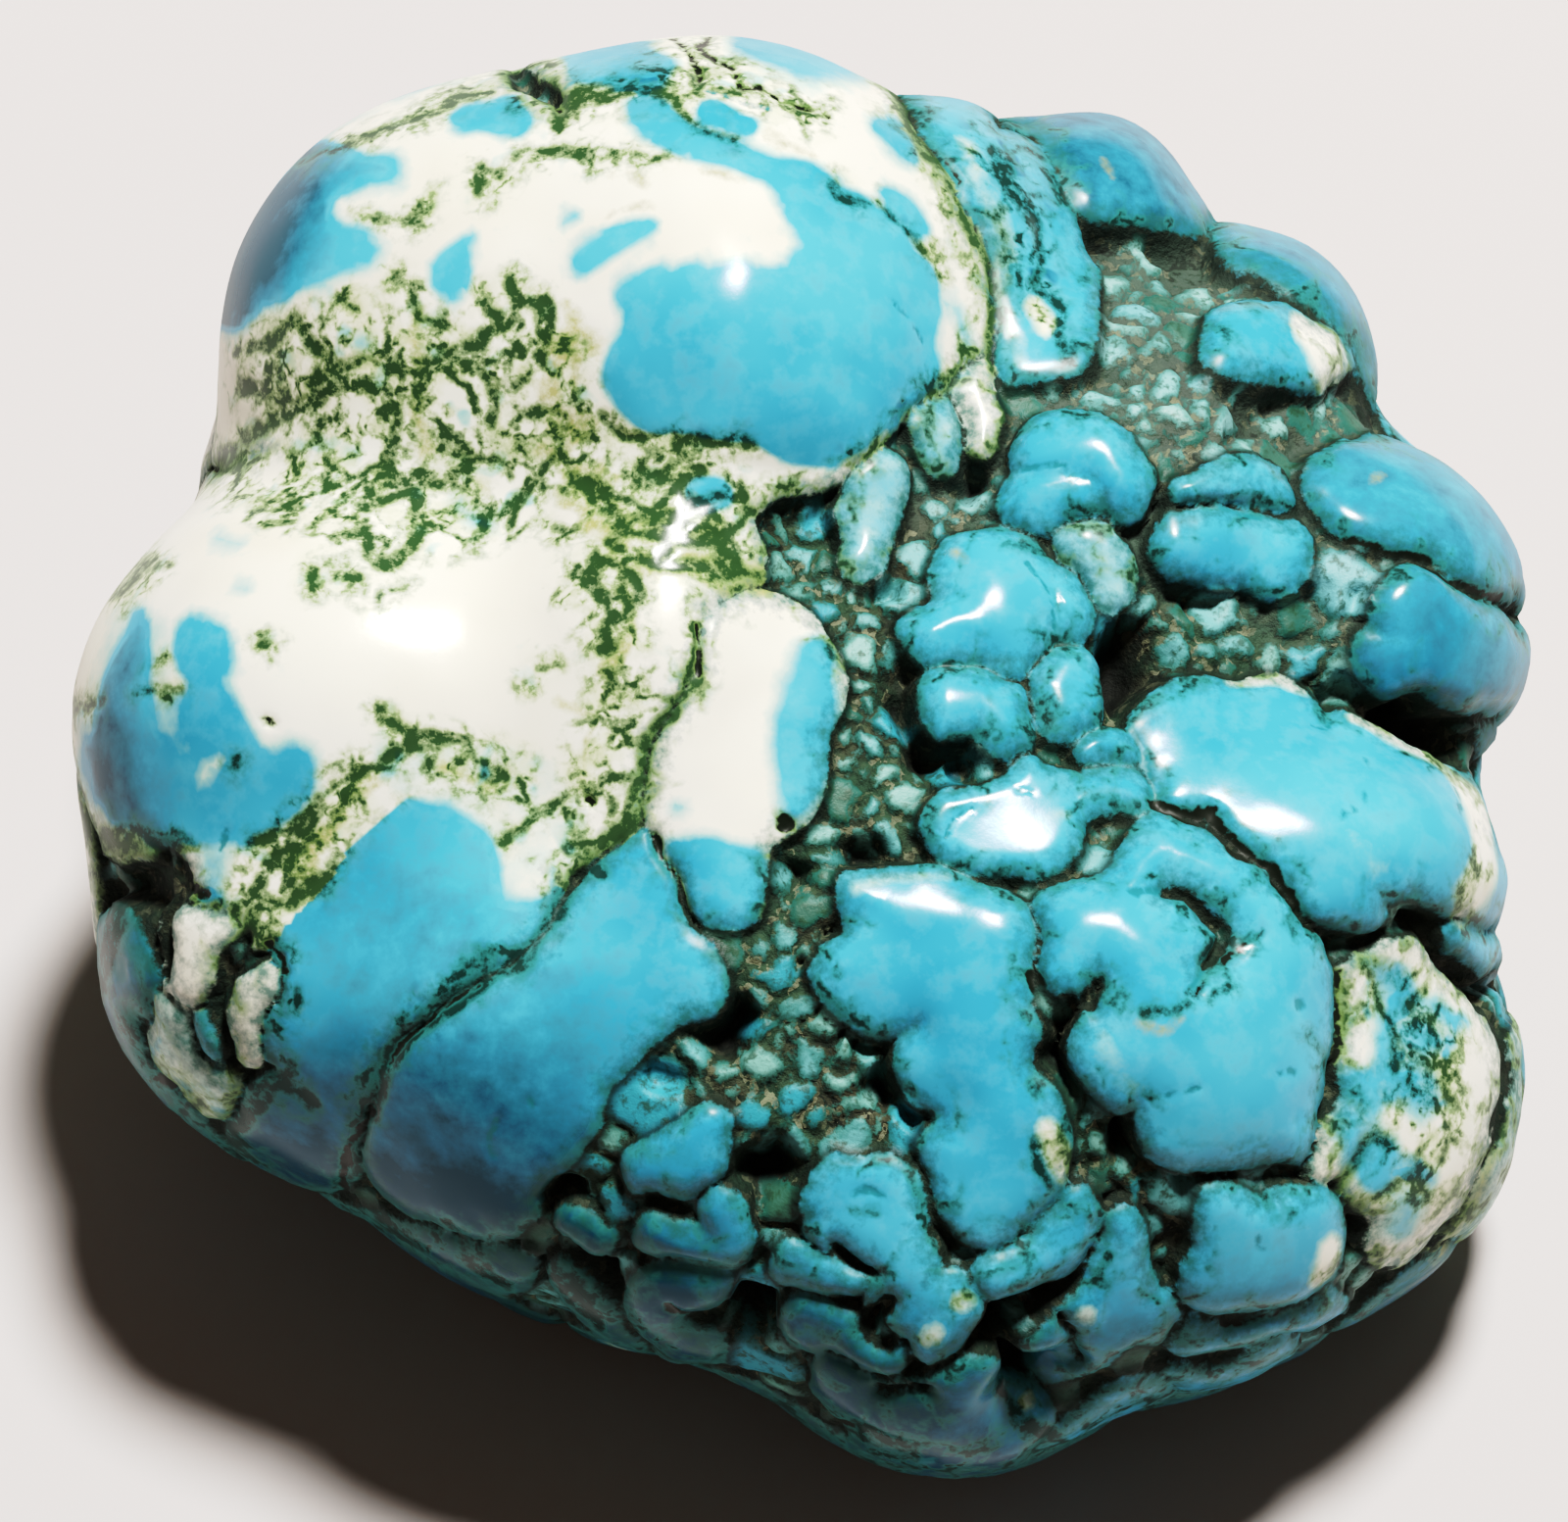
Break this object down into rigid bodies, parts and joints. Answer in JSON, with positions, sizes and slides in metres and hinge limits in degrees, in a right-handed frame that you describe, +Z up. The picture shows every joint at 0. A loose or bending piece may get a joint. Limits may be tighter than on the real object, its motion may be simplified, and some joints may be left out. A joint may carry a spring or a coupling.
{
  "type": "raw turquoise nugget",
  "caption": "Tumbled turquoise nugget: a knobbly blue and cream stone with dark matrix webs, resting on a small worn flat.",
  "frame": {"origin": "on the resting plane, under the middle of the stone's box", "axes": "+X across the knobbly face, +Y away from its lower edge, +Z up"},
  "size_m": [0.0458, 0.0444, 0.0284],
  "materials": {
    "tumbled_turquoise": "tumble-polished turquoise and cream host rock with a rough grey-brown matrix"
  },
  "bodies": {
    "root": {"nugget": "tumbled_turquoise"}
  },
  "joints": []
}
